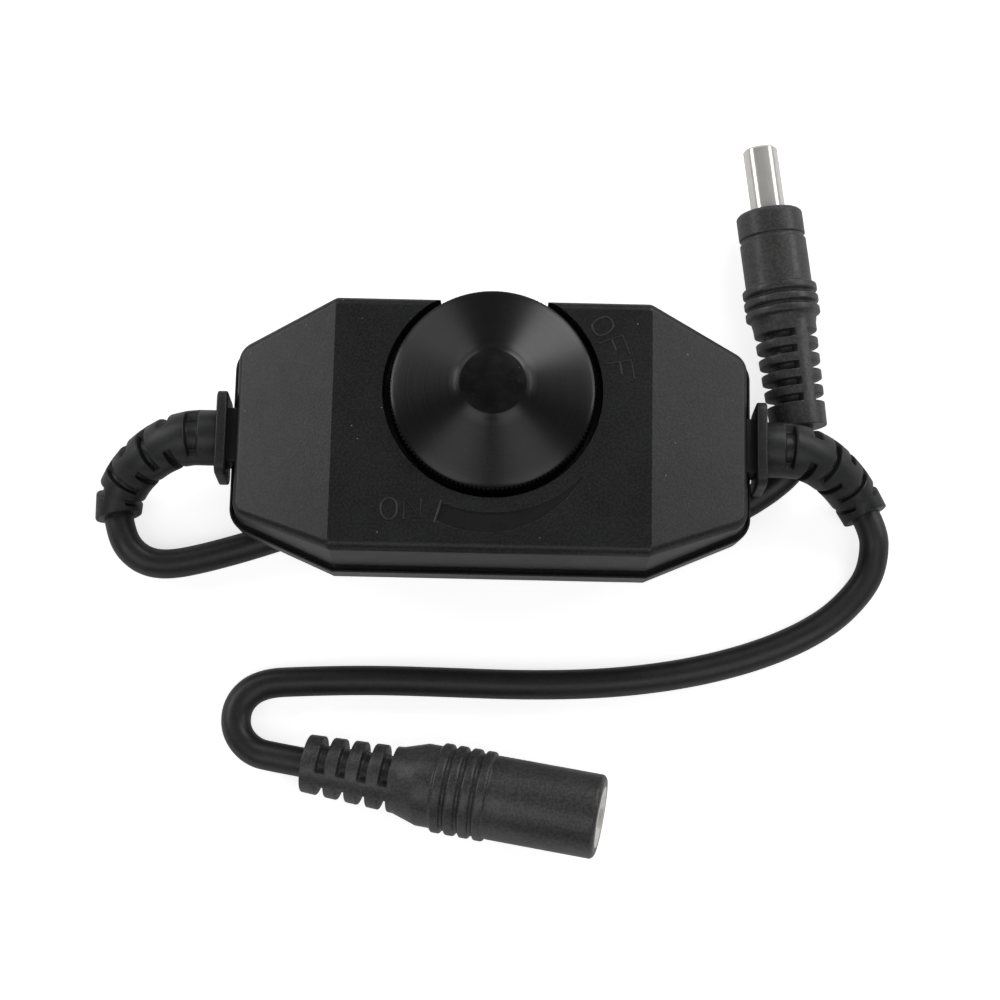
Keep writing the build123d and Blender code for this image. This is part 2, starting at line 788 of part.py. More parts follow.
left_route = relief_route(-1, (left_tip_x, left_tip_y), left_tip_heading, left_handles)
right_route = relief_route(1, (right_tip_x, right_tip_y), right_tip_heading, right_handles)
keep(strain_relief(-1, left_route), "strain_relief_left")
keep(strain_relief(1, right_route), "strain_relief_right")

# Male plug: a slotted tail, grip ribs and a smooth body, lying on its tail and ribs
plug_frame = axis_frame(
    (plug_tail_x, plug_tail_y), plug_heading, plug_tail_radius, plug_rib_radius, plug_rib_start
)
plug_axis = Axis(plug_frame.origin, plug_frame.z_dir)
plug_ribs_end = plug_rib_start + plug_ribs * plug_rib_pitch
plug_groove_start = plug_length - plug_groove_from_front - plug_groove_width
plug_groove_radius = plug_body_radius - plug_groove_depth
barrel_start = plug_length - barrel_seat
barrel_end = plug_length + barrel_length
insulator_radius = barrel_radius - barrel_wall - nested_fit
contact_radius = inner_contact_radius + inner_contact_wall

with BuildPart() as plug_moulding:
    revolve(
        turned_face(
            plug_frame,
            [
                (0, 0),
                (0, plug_tail_radius),
                (plug_slotted_length, plug_slotted_radius),
                *rib_points(plug_ribs, plug_rib_start, plug_rib_pitch, plug_rib_radius, plug_body_radius),
                (plug_ribs_end, plug_body_radius),
                (plug_groove_start, plug_body_radius),
                (plug_groove_start, plug_groove_radius),
                (plug_groove_start + plug_groove_width, plug_groove_radius),
                (plug_groove_start + plug_groove_width, plug_body_radius),
                (plug_length - plug_front_chamfer, plug_body_radius),
                (plug_length, plug_body_radius - plug_front_chamfer),
                (plug_length, barrel_root_radius + nested_fit),
                (barrel_start, barrel_root_radius + nested_fit),
                (barrel_start, 0),
            ],
        ),
        axis=plug_axis,
    )
    for slot in range(plug_slots):
        slot_plane = plug_frame.offset(plug_slot_start + slot * plug_slot_pitch)
        slot_ring = slot_face(slot_plane, plug_rib_radius, plug_core_radius, plug_web, plug_web_turn)
        extrude(slot_ring, amount=plug_slot_width / 2, both=True, mode=Mode.SUBTRACT)
keep(plug_moulding, "plug_moulding")

with BuildPart() as plug_barrel:
    revolve(
        turned_face(
            plug_frame,
            [
                (barrel_start, barrel_radius - barrel_wall),
                (barrel_end, barrel_radius - barrel_wall),
                (barrel_end, barrel_radius - barrel_lip),
                (barrel_end - barrel_lip, barrel_radius),
                (plug_length, barrel_radius),
                (plug_length, barrel_root_radius),
                (barrel_start, barrel_root_radius),
            ],
        ),
        axis=plug_axis,
    )
keep(plug_barrel, "plug_barrel")

with BuildPart() as plug_insulator:
    revolve(
        tube_face(plug_frame, barrel_start, barrel_end - insulator_recess,
                  insulator_radius, contact_radius + nested_fit),
        axis=plug_axis,
    )
keep(plug_insulator, "plug_insulator")

with BuildPart() as plug_inner_contact:
    revolve(
        tube_face(plug_frame, barrel_start, barrel_end - inner_contact_recess,
                  contact_radius, inner_contact_radius),
        axis=plug_axis,
    )
keep(plug_inner_contact, "plug_inner_contact")

# Female socket: a slotted tail that flares to the grip ribs, and a metal shell in its mouth
socket_frame = axis_frame(
    socket_tail, socket_heading, socket_tail_radius, socket_rib_radius, socket_rib_start
)
socket_axis = Axis(socket_frame.origin, socket_frame.z_dir)
socket_ribs_end = socket_rib_start + socket_ribs * socket_rib_pitch
shell_start = socket_length - shell_depth
socket_insulator_start = shell_start - socket_insulator_thickness
spring_outer = shell_radius - shell_lip
spring_inner = spring_outer - spring_thickness

with BuildPart() as socket_moulding:
    revolve(
        turned_face(
            socket_frame,
            [
                (0, 0),
                (0, socket_tail_radius),
                (socket_slotted_length, socket_slotted_radius),
                (socket_rib_start - socket_rib_pitch, socket_flare_radius),
                *rib_points(socket_ribs, socket_rib_start, socket_rib_pitch,
                            socket_rib_radius, socket_flare_radius),
                (socket_ribs_end, socket_body_radius),
                (socket_length - socket_front_chamfer, socket_body_radius),
                (socket_length, socket_body_radius - socket_front_chamfer),
                (socket_length, shell_radius + nested_fit),
                (socket_insulator_start, shell_radius + nested_fit),
                (socket_insulator_start, 0),
            ],
        ),
        axis=socket_axis,
    )
    for slot in range(socket_slots):
        slot_plane = socket_frame.offset(socket_slot_start + slot * socket_slot_pitch)
        slot_ring = slot_face(
            slot_plane, socket_rib_radius, socket_core_radius, socket_web, socket_web_turn
        )
        extrude(slot_ring, amount=socket_slot_width / 2, both=True, mode=Mode.SUBTRACT)
keep(socket_moulding, "socket_moulding")

# The shell has a notch along its bore, on the side away from the floor, for the spring
with BuildPart() as socket_shell:
    revolve(
        turned_face(
            socket_frame,
            [
                (shell_start, shell_bore_radius),
                (socket_length - shell_lip, shell_bore_radius),
                (socket_length, shell_bore_radius + shell_lip),
                (socket_length, shell_radius),
                (shell_start, shell_radius),
            ],
        ),
        axis=socket_axis,
    )
    with BuildSketch(socket_frame.offset(shell_start)):
        with Locations((0, -spring_outer - spring_notch_fit)):
            Rectangle(
                spring_width + 2 * spring_notch_fit,
                shell_bore_radius,
                align=(Align.CENTER, Align.MIN),
            )
    extrude(amount=spring_length + spring_notch_fit, mode=Mode.SUBTRACT)
keep(socket_shell, "socket_shell")

with BuildPart() as socket_insulator:
    with BuildSketch(socket_frame.offset(socket_insulator_start)):
        Circle(shell_radius)
    extrude(amount=socket_insulator_thickness)
keep(socket_insulator, "socket_insulator")

with BuildPart() as socket_pin:
    with BuildSketch(socket_frame.offset(shell_start)):
        Circle(socket_pin_radius)
    extrude(amount=shell_depth - socket_pin_below_mouth)
    tip_faces = socket_pin.faces().sort_by(Axis((0, 0, 0), socket_frame.z_dir))
    fillet(tip_faces[-1].edges(), socket_pin_tip)
keep(socket_pin, "socket_pin")

with BuildPart() as socket_spring:
    with BuildSketch(socket_frame.offset(shell_start)):
        with Locations((0, -spring_outer)):
            Rectangle(spring_width, spring_thickness, align=(Align.CENTER, Align.MIN))
    extrude(amount=spring_length)
    # A low hump halfway presses on the plug that goes in
    with BuildSketch(profile_plane(socket_frame)):
        with BuildLine():
            Polyline(
                (shell_start + spring_length / 4, spring_inner),
                (shell_start + spring_length / 2, shell_bore_radius - spring_notch_fit),
                (shell_start + 3 * spring_length / 4, spring_inner),
                close=True,
            )
        make_face()
    extrude(amount=spring_width / 2, both=True)
keep(socket_spring, "socket_spring")

# Input lead: from the left strain relief, under the housing and up to the plug.
# Its ends follow the strain relief and the plug if the housing's length changes.
plug_lead_points = [
    left_route @ 1,
    left_route @ 1 + (left_route % 1) * tip_run,
    Vector(left_tip_x + 2.1, -16.0, lead_z + 0.9),
    Vector(left_tip_x + 4.8, -17.7, lead_z + 0.4),
    Vector(left_tip_x + 8.4, -17.9, lead_z),
    Vector(-44.6, -16.7, lead_z),
    Vector(-37.4, -14.5, lead_z),
    Vector(-28.5, -11.3, lead_z),
    Vector(-18.0, -8.7, lead_z),
    Vector(-6.0, -7.6, lead_z),
    Vector(6.0, -8.3, lead_z),
    Vector(17.5, -10.2, lead_z),
    Vector(27.5, -10.8, lead_z),
    Vector(35.2, -9.0, lead_z),
    Vector(plug_tail_x - 8.0, -6.0, lead_z + 0.3),
    Vector(plug_tail_x - 4.0, -3.3, lead_z + 1.0),
    Vector(plug_tail_x - 1.1, -0.6, lead_z + 1.6),
    plug_frame.origin - plug_frame.z_dir * plug_tail_run,
    plug_frame.origin,
]

# Output lead: from the right strain relief round the front to the socket
socket_lead_points = [
    right_route @ 1,
    right_route @ 1 + (right_route % 1) * tip_run,
    Vector(right_tip_x + 1.4, -13.8, lead_z + 0.6),
    Vector(right_tip_x + 0.5, -17.6, lead_z),
    Vector(right_tip_x - 2.2, -21.3, lead_z),
    Vector(53.0, -25.0, lead_z),
    Vector(46.8, -28.5, lead_z),
    Vector(38.8, -31.5, lead_z),
    Vector(29.4, -33.8, lead_z),
    Vector(18.4, -35.3, lead_z),
    Vector(6.0, -35.8, lead_z),
    Vector(-6.5, -35.6, lead_z),
    Vector(-17.5, -35.5, lead_z),
    Vector(-28.0, -35.9, lead_z),
    Vector(-35.0, -36.4, lead_z),
    Vector(-38.4, -39.4, lead_z),
    Vector(-38.7, -43.8, lead_z + 0.1),
    Vector(-35.9, -47.2, lead_z + 0.6),
    socket_frame.origin - socket_frame.z_dir * socket_tail_run,
    socket_frame.origin,
]

for label, points in (("plug_lead", plug_lead_points), ("socket_lead", socket_lead_points)):
    radii = bend_radii(points)
    with BuildPart() as lead:
        with BuildLine() as lead_route:
            FilletPolyline(points, radius=radii)
        with BuildSketch(Plane(origin=lead_route.wire() @ 0, z_dir=lead_route.wire() % 0)):
            Circle(lead_diameter / 2)
        sweep()
    keep(lead, label)
    report_tube(label, lead.part, lead_route.wire(), radii, lead_diameter)
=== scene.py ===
from math import atan2, cos, pi, radians, sin

import bmesh
import bpy
from mathutils import Matrix, Vector


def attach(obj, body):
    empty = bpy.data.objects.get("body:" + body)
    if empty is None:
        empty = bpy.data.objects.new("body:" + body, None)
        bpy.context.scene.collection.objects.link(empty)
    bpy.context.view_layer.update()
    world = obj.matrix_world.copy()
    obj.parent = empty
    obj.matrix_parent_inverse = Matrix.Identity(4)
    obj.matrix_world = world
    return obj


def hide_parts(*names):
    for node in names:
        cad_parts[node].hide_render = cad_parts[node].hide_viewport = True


bl_info = {
    "name": "In-line rotary dimmer",
    "version": (1, 0, 0),
    "blender": (4, 5, 0),
    "location": "View3D > Sidebar > Dimmer",
    "description": "Builds the looks of an in-line rotary dimmer around its packed CAD model",
    "category": "Object",
}

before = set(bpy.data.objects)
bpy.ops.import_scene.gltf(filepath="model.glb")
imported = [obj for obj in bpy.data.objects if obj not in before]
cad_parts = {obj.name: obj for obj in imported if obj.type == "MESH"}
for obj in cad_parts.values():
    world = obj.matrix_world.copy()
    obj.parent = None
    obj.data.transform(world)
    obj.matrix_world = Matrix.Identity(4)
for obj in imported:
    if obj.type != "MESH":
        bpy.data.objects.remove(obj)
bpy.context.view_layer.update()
MM = 0.001

# Camera, in metres and degrees
CAMERA_PLACE = (0, -0.096022, 0.371358)
CAMERA_AIM = (0.0014932, -0.0088749, 0.013)
CAMERA_ROLL = 2.2035
CAMERA_LENS = 86.4
CAMERA_SENSOR = 36

# Lamps: name, azimuth and elevation in degrees, distance, width and height in metres, and watts.
# The back and front pairs light the four bright fans on the knob, and the side pair the end facets.
LAMPS = (
    ("lamp_back_right", 58, 38, 0.75, 0.3, 0.34, 1.5),
    ("lamp_back_left", 122, 38, 0.75, 0.3, 0.34, 0.5),
    ("lamp_right", 22, 25, 0.75, 0.4, 0.24, 1.0),
    ("lamp_left", 158, 25, 0.75, 0.4, 0.24, 1.25),
    ("lamp_front_right", 309, 50, 0.8, 0.42, 0.6, 1.1),
    ("lamp_front_left", 231, 50, 0.8, 0.42, 0.6, 1.1),
)
WORLD_STRENGTH = 0.08

# Floor in metres, and its glow as the camera sees it and as the pieces mirror it
FLOOR_RADIUS = 5
FLOOR_EDGE_HEIGHT = 1.3
FLOOR_GLOW = 0.72
MIRRORED_GLOW = 0.1

# The knob's place, levels and radii, in millimetres, as in the part's source
KNOB_AXIS = (0.0, 5.2)
KNOB_RADIUS = 15.6
KNOB_DISC_RADIUS = 4.9
KNOB_CONE_START = 5.85
KNOB_HOLLOW_RADIUS = 13.8
KNOB_HUB_RADIUS = 5.2
KNOB_BORE_RADIUS = 3.1
KNOB_FOOT = 20.9
KNOB_HOLLOW_FLOOR = 23.8
KNOB_HOLLOW_TOP = 26.57
KNOB_BORE_TOP = 28.2
KNURL_TOP = 25.3
KNOB_RIM = 26.1
KNOB_PEAK = 29.5
FACE = 24.8

# The sunk crescent on the face lies in one circle and outside the other
DIAL_OUTER_CENTRE = (-0.9, -0.2)
DIAL_OUTER_RADIUS = 16.5
DIAL_INNER_RADIUS = 18.9
DIAL_START = (-7.7, -13.6)
DIAL_LEAN = radians(14)

# The leads' routes, in millimetres, as in the part's source
INPUT_ROUTE = (
    (-58.3, -10.7, 3.65),
    (-57.718, -13.439, 3.65),
    (-56.2, -16.0, 3.2),
    (-53.5, -17.7, 2.7),
    (-49.9, -17.9, 2.3),
    (-44.6, -16.7, 2.3),
    (-37.4, -14.5, 2.3),
    (-28.5, -11.3, 2.3),
    (-18.0, -8.7, 2.3),
    (-6.0, -7.6, 2.3),
    (6.0, -8.3, 2.3),
    (17.5, -10.2, 2.3),
    (27.5, -10.8, 2.3),
    (35.2, -9.0, 2.3),
    (40.7, -6.0, 2.6),
    (44.7, -3.3, 3.3),
    (47.6, -0.6, 3.9),
    (49.172, 2.544, 4.211),
    (48.7, 5.9, 4.485),
)
OUTPUT_ROUTE = (
    (59.2, -8.0, 3.65),
    (60.427, -10.517, 3.65),
    (60.6, -13.8, 2.9),
    (59.7, -17.6, 2.3),
    (57.0, -21.3, 2.3),
    (53.0, -25.0, 2.3),
    (46.8, -28.5, 2.3),
    (38.8, -31.5, 2.3),
    (29.4, -33.8, 2.3),
    (18.4, -35.3, 2.3),
    (6.0, -35.8, 2.3),
    (-6.5, -35.6, 2.3),
    (-17.5, -35.5, 2.3),
    (-28.0, -35.9, 2.3),
    (-35.0, -36.4, 2.3),
    (-38.4, -39.4, 2.3),
    (-38.7, -43.8, 2.4),
    (-35.9, -47.2, 2.9),
    (-31.604, -48.141, 3.911),
    (-27.3, -48.9, 4.420),
)

# Which finish each CAD solid gets
NODES_OF_FINISH = {
    "housing_black": ("top_shell", "bottom_shell"),
    "knob_black": ("knob",),
    "relief_black": ("strain_relief_left", "strain_relief_right"),
    "lead_black": ("plug_lead", "socket_lead"),
    "plug_black": ("plug_moulding", "socket_moulding"),
    "nickel": ("plug_barrel", "socket_shell", "socket_pin"),
    "contact_brass": ("plug_inner_contact", "socket_spring", "potentiometer_bushing"),
    "insulator_black": ("plug_insulator", "socket_insulator"),
    "steel": (
        "housing_screw_1", "housing_screw_2", "housing_screw_3", "housing_screw_4",
        "potentiometer_body", "bushing_washer", "bushing_nut",
    ),
    "shaft_aluminium": ("potentiometer_shaft",),
    "board_green": ("circuit_board",),
    "chip_black": ("power_transistor", "control_chip", "diode"),
    "capacitor_can": ("capacitor",),
    "resistor_tan": ("resistor_1", "resistor_2", "resistor_3"),
    "wire_red": ("input_wire_1", "output_wire_1"),
    "wire_black": ("input_wire_2", "output_wire_2"),
}

# Pieces with rounded edges: name, CAD solid, finish, edge width in mm, and for the shells the
# angle in degrees from which an edge is rounded, which takes in the creases of the top shell's facets
ROUNDED_SHELLS = (
    ("housing_top", "top_shell", "housing_black", 0.08, 23),
    ("housing_base", "bottom_shell", "housing_black", 0.12, 34),
)
ROUNDED_GRIPS = (
    ("plug_grip", "plug_moulding", "plug_black", 0.16),
    ("socket_grip", "socket_moulding", "plug_black", 0.2),
)

# The strain reliefs, in mm as in the part's source
RELIEF_LEVEL = 13.0
RELIEF_FLANGE_X = 41.4
RELIEF_BEND_X = 45.1
RELIEF_BOSS = 4.3
RELIEF_TIP = 3.65
RELIEF_CORE = 2.9
RELIEF_RING = 2.05
RELIEF_TIP_LENGTH = 3.1
RELIEF_SLOTS = 6
RELIEF_WEB = 3.8
RELIEF_EDGE = 0.25
BLOCK_EDGE = 0.3
# Name, CAD solid, side of the housing, tip, its heading in degrees, and the bend's handles
RELIEFS = (
    ("relief_left", "strain_relief_left", -1, (-58.3, -10.7), -78, (6.4, 6.0)),
    ("relief_right", "strain_relief_right", 1, (59.2, -8.0), -64, (6.6, 5.2)),
)
# Blocks in the end wall: size and middle along X, width, height and corner radius
RELIEF_BLOCKS = (
    ((1.6, 13.2, 9.6), 41.4, 1.6),
    ((4.6, 8.4, 5.4), 38.6, 0.2),
    ((1.4, 11.0, 6.8), 35.95, 1.6),
)

# Strokes of the raised letters, in mm from the letter's middle: a closed loop or a run of straight lines
ROUND_O = (
    (1.2, 0.0), (0.86, 1.2), (0.0, 1.62), (-0.86, 1.2),
    (-1.2, 0.0), (-0.86, -1.2), (0.0, -1.62), (0.86, -1.2),
)
SQUARE_O = (
    (1.12, -0.95), (1.12, 0.95), (0.75, 1.42), (-0.75, 1.42),
    (-1.12, 0.95), (-1.12, -0.95), (-0.75, -1.42), (0.75, -1.42),
)
CAPITAL_N = ((-1.3, -1.65), (-1.3, 1.6), (1.1, -1.35), (1.25, 1.55))
F_STEM_AND_TOP = ((-1.5, -1.95), (-1.5, 1.9), (1.55, 1.9))
F_BAR = ((-1.5, 0.15), (0.45, 0.15))
# Each letter: name, its middle on the face, the way it leans from the knob in degrees, lines, and loop
LETTERS = (
    ("on_o", (-15.05, -13.4), 0, (), ROUND_O),
    ("on_n", (-11.5, -13.3), 0, (CAPITAL_N,), ()),
    ("off_o", (16.45, 15.68), 32.5, (), SQUARE_O),
    ("off_f_1", (18.2, 12.19), 21, (F_STEM_AND_TOP, F_BAR), ()),
    ("off_f_2", (19.2, 8.59), 10, (F_STEM_AND_TOP, F_BAR), ()),
)
DIAL_STROKE = ((-7.25, -12.0), (-8.25, -15.4))
DIAL_STROKE_SHARE = 1.15


# Making pieces

def millimetres(point):
    return Vector(point) * MM


def deselect():
    bpy.ops.object.select_all(action="DESELECT")


def take(*objects):
    """Select these objects and nothing else, the last one active."""
    deselect()
    for item in objects:
        item.select_set(True)
    bpy.context.view_layer.objects.active = objects[-1]


def edit(piece):
    take(piece)
    bpy.ops.object.mode_set(mode="EDIT")


def leave_edit():
    bpy.ops.object.mode_set(mode="OBJECT")


def apply_place(piece):
    take(piece)
    bpy.ops.object.transform_apply(location=True, rotation=True, scale=True)


def put_at(piece, matrix):
    """Move a piece made along +Z to its frame, and put the move in the mesh."""
    piece.matrix_world = matrix
    apply_place(piece)


def turn(name, rings, segments):
    """Turn a solid from rings of (radius, height) in mm: a disc, extruded and resized from ring to ring."""
    deselect()
    radius, height = rings[0]
    bpy.ops.mesh.primitive_circle_add(
        vertices=segments, radius=radius * MM, fill_type="NGON", location=(0, 0, height * MM)
    )
    piece = bpy.context.active_object
    piece.name = name
    apply_place(piece)
    edit(piece)
    bpy.ops.mesh.select_mode(type="FACE")
    bpy.ops.mesh.select_all(action="SELECT")
    for next_radius, next_height in rings[1:]:
        rise = (next_height - height) * MM
        bpy.ops.mesh.extrude_region_move(TRANSFORM_OT_translate={"value": (0, 0, rise)})
        share = next_radius / radius
        bpy.ops.transform.resize(value=(share, share, 1), center_override=(0, 0, next_height * MM))
        radius, height = next_radius, next_height
    bpy.ops.mesh.select_all(action="SELECT")
    bpy.ops.mesh.normals_make_consistent(inside=False)
    leave_edit()
    return piece


def add_modifier(piece, kind, **values):
    """Add a modifier, set it and apply it."""
    modifier = piece.modifiers.new(kind.title(), kind)
    for key, value in values.items():
        setattr(modifier, key, value)
    take(piece)
    bpy.ops.object.modifier_apply(modifier=modifier.name)


def shade(piece, angle=35):
    take(piece)
    bpy.ops.object.shade_smooth_by_angle(angle=radians(angle))


def rounded_copy(name, node, width, sharpest=34):
    """Weld a copy of a CAD solid's mesh, clear its flat faces of triangles and round its edges."""
    piece = bpy.data.objects.new(name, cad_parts[node].data.copy())
    bpy.context.collection.objects.link(piece)
    edit(piece)
    bpy.ops.mesh.select_all(action="SELECT")
    bpy.ops.mesh.remove_doubles(threshold=0.000001)
    bpy.ops.mesh.dissolve_limited(angle_limit=radians(0.5))
    leave_edit()
    add_modifier(
        piece, "BEVEL", width=width * MM, segments=4, limit_method="ANGLE",
        angle_limit=radians(sharpest), use_clamp_overlap=False,
    )
    # The flat faces stay flat up to their rounded edges
    shade(piece, 22)
    add_modifier(piece, "WEIGHTED_NORMAL", mode="FACE_AREA", weight=50, keep_sharp=True)
    return piece


def press_slot(piece, start, end, core, share, web, way):
    """Press a slot of a straight turned piece down to its core, leaving two webs across this way."""
    edit(piece)
    bpy.ops.mesh.select_mode(type="FACE")
    mesh = bmesh.from_edit_mesh(piece.data)
    for face in mesh.faces:
        middle = face.calc_center_median() / MM
        beside = abs(middle.y * cos(radians(way)) - middle.x * sin(radians(way)))
        face.select_set(start < middle.z < end and middle.xy.length > core and beside > web / 2)
    bmesh.update_edit_mesh(piece.data)
    bpy.ops.mesh.extrude_region_move()
    bpy.ops.transform.resize(value=(share, share, 1), center_override=(0, 0, 0))
    leave_edit()


def rounded_block(name, size, middle, corner):
    """A block with its long edges rounded, then all its edges eased."""
    deselect()
    bpy.ops.mesh.primitive_cube_add(size=1, location=millimetres(middle), scale=millimetres(size))
    piece = bpy.context.active_object
    piece.name = name
    apply_place(piece)
    edit(piece)
    bpy.ops.mesh.select_mode(type="EDGE")
    mesh = bmesh.from_edit_mesh(piece.data)
    for edge in mesh.edges:
        first, last = edge.verts
        edge.select_set(abs(first.co.x - last.co.x) > 0.9 * size[0] * MM)
    bmesh.update_edit_mesh(piece.data)
    bpy.ops.mesh.bevel(offset=corner * MM, segments=6)
    leave_edit()
    add_modifier(
        piece, "BEVEL", width=min(BLOCK_EDGE, corner) * MM, segments=3, limit_method="ANGLE",
        angle_limit=radians(40),
    )
    return piece


def bend_route(side, tip, heading, handles):
    """Centre line of a strain relief: straight out of its flange, then down to its tip."""
    way = Vector((cos(radians(heading)), sin(radians(heading)), 0))
    out = Vector((side, 0, 0))
    start = Vector((side * RELIEF_FLANGE_X, 0, RELIEF_LEVEL))
    bend = Vector((side * RELIEF_BEND_X, 0, RELIEF_LEVEL))
    end = Vector((*tip, RELIEF_TIP))
    line = bpy.data.curves.new("bend_route", "CURVE")
    line.dimensions = "3D"
    line.twist_mode = "Z_UP"
    line.resolution_u = 48
    spline = line.splines.new("BEZIER")
    spline.bezier_points.add(2)
    for point, place, before, after in zip(
        spline.bezier_points,
        (start, bend, end),
        (start - out, bend - out, end - way * handles[1]),
        (start + out, bend + out * handles[0], end + way),
    ):
        point.co = millimetres(place)
        point.handle_left = millimetres(before)
        point.handle_right = millimetres(after)
    route = bpy.data.objects.new("bend_route", line)
    bpy.context.collection.objects.link(route)
    return route


def raised_strokes(name, strokes, loop, radius, place, turned):
    """Round raised strokes, half sunk in the housing's face, as a mesh with its place applied."""
    line = bpy.data.curves.new(name, "CURVE")
    line.dimensions = "3D"
    for points, closed in [(stroke, False) for stroke in strokes] + ([(loop, True)] if loop else []):
        spline = line.splines.new("BEZIER")
        spline.bezier_points.add(len(points) - 1)
        for point, (x, y) in zip(spline.bezier_points, points):
            point.co = millimetres((x, y, 0))
            point.handle_left_type = point.handle_right_type = "AUTO" if closed else "VECTOR"
        spline.use_cyclic_u = closed
    line.bevel_depth = radius * MM
    line.bevel_resolution = 3
    line.use_fill_caps = True
    piece = bpy.data.objects.new(name, line)
    bpy.context.collection.objects.link(piece)
    take(piece)
    bpy.ops.object.convert(target="MESH")
    spot = Matrix.Translation(millimetres((*place, FACE)))
    put_at(piece, spot @ Matrix.Rotation(radians(turned), 4, "Z"))
    shade(piece)
    return piece


def select_vertices(piece, test):
    """In edit mode, select the vertices whose place in mm passes the test."""
    mesh = bmesh.from_edit_mesh(piece.data)
    bpy.ops.mesh.select_mode(type="VERT")
    for vertex in mesh.verts:
        vertex.select_set(bool(test(vertex.co / MM)))
    mesh.select_flush_mode()
    bmesh.update_edit_mesh(piece.data)


def finish_piece(piece, finish, body="housing", nodes=()):
    """Give a piece its finish, let it ride on its body and stand for its CAD nodes."""
    piece.data.materials.clear()
    piece.data.materials.append(bpy.data.materials[finish])
    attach(piece, body)
    if nodes:
        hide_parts(*nodes)


# Making finishes

class Finish:
    """A material's node tree, with the few nodes that these finishes share."""

    def __init__(self, name):
        plain = bpy.data.materials.get(name)
        if plain:
            plain.name = f"{name}_plain"
        self.material = bpy.data.materials.new(name)
        self.material.use_nodes = True
        self.tree = self.material.node_tree
        self.shader = self.tree.nodes["Principled BSDF"]
        self.place = self.node("ShaderNodeTexCoord").outputs["Object"]

    def node(self, kind, **values):
        made = self.tree.nodes.new(kind)
        for key, value in values.items():
            setattr(made, key, value)
        return made

    def join(self, output, socket):
        self.tree.links.new(output, socket)

    def set(self, **values):
        for key, value in values.items():
            self.shader.inputs[key.replace("_", " ")].default_value = value

    def noise(self, size, detail=2.0, roughness=0.5):
        """Noise with features of about this size in mm."""
        made = self.node("ShaderNodeTexNoise")
        made.inputs["Scale"].default_value = 1 / (size * MM)
        made.inputs["Detail"].default_value = detail
        made.inputs["Roughness"].default_value = roughness
        self.join(self.place, made.inputs["Vector"])
        return made.outputs["Fac"]

    def ramp(self, value, low, high, start, end):
        """Map value's range low to high onto start to end."""
        made = self.node("ShaderNodeMapRange")
        for key, number in (("From Min", low), ("From Max", high), ("To Min", start), ("To Max", end)):
            made.inputs[key].default_value = number
        self.join(value, made.inputs["Value"])
        return made.outputs["Result"]

    def reach(self, centre):
        """Distance in plan from a point given in mm."""
        moved = self.node("ShaderNodeVectorMath", operation="SUBTRACT")
        moved.inputs[1].default_value = (centre[0] * MM, centre[1] * MM, 0)
        self.join(self.place, moved.inputs[0])
        flat = self.node("ShaderNodeVectorMath", operation="MULTIPLY")
        flat.inputs[1].default_value = (1, 1, 0)
        self.join(moved.outputs["Vector"], flat.inputs[0])
        length = self.node("ShaderNodeVectorMath", operation="LENGTH")
        self.join(flat.outputs["Vector"], length.inputs[0])
        self.radial = flat.outputs["Vector"]
        return length.outputs["Value"]

    def blend_colours(self, share, first, second):
        made = self.node("ShaderNodeMix", data_type="RGBA")
        self.join(share, made.inputs["Factor"])
        for key, colour in ((6, first), (7, second)):
            if hasattr(colour, "links"):
                self.join(colour, made.inputs[key])
            else:
                made.inputs[key].default_value = (*colour, 1)
        return made.outputs[2]

    def combine(self, first, second, operation="ADD"):
        made = self.node("ShaderNodeMath", operation=operation)
        for key, value in ((0, first), (1, second)):
            if hasattr(value, "links"):
                self.join(value, made.inputs[key])
            else:
                made.inputs[key].default_value = value
        return made.outputs[0]

    def bump(self, height, depth):
        """Bump the surface by a height of 0 to 1 that stands for this depth in mm."""
        made = self.node("ShaderNodeBump")
        made.inputs["Strength"].default_value = 1
        made.inputs["Distance"].default_value = depth * MM
        self.join(height, made.inputs["Height"])
        self.join(made.outputs["Normal"], self.shader.inputs["Normal"])

    def grain(self, size, slow_size, share):
        """A fine grain, and its sharpened tone mixed with this share of a slow change of tone."""
        slow = self.ramp(self.noise(slow_size, 3), 0.35, 0.65, 0, 1)
        fine = self.noise(size, 1)
        sharp = self.ramp(fine, 0.4, 0.62, 0, 1)
        slow_part = self.combine(slow, share, "MULTIPLY")
        return fine, self.combine(slow_part, self.combine(sharp, 1 - share, "MULTIPLY"))

    def dots(self, spacing, near, far, strength):
        """Small dots, one in each cell of this size in mm, that fade from near to far of the cell."""
        cells = self.node("ShaderNodeTexVoronoi")
        cells.inputs["Scale"].default_value = 1 / (spacing * MM)
        self.join(self.place, cells.inputs["Vector"])
        return self.ramp(cells.outputs["Distance"], near, far, strength, 0)

    def roughen(self, value, roughness, less, more):
        """Vary the roughness by this much below and above its value."""
        rough = self.ramp(value, 0.3, 0.7, roughness - less, roughness + more)
        self.join(rough, self.shader.inputs["Roughness"])


def scaled(colour, share):
    return tuple(channel * share for channel in colour)


def moulded(name, dark, light, roughness, grain, depth, specks=0.0):
    """Moulded plastic: a fine grain, a slow change of tone, and pale specks of dust."""
    made = Finish(name)
    fine, mixed = made.grain(grain, 9, 0.35)
    colour = made.blend_colours(mixed, dark, light)
    if specks:
        colour = made.blend_colours(made.dots(1.9, 0.02, 0.05, specks), colour, (0.35, 0.35, 0.34))
    made.join(colour, made.shader.inputs["Base Color"])
    made.roughen(made.noise(grain * 6, 2), roughness, 0.05, 0.05)
    made.bump(fine, depth)
    made.set(IOR=1.5)


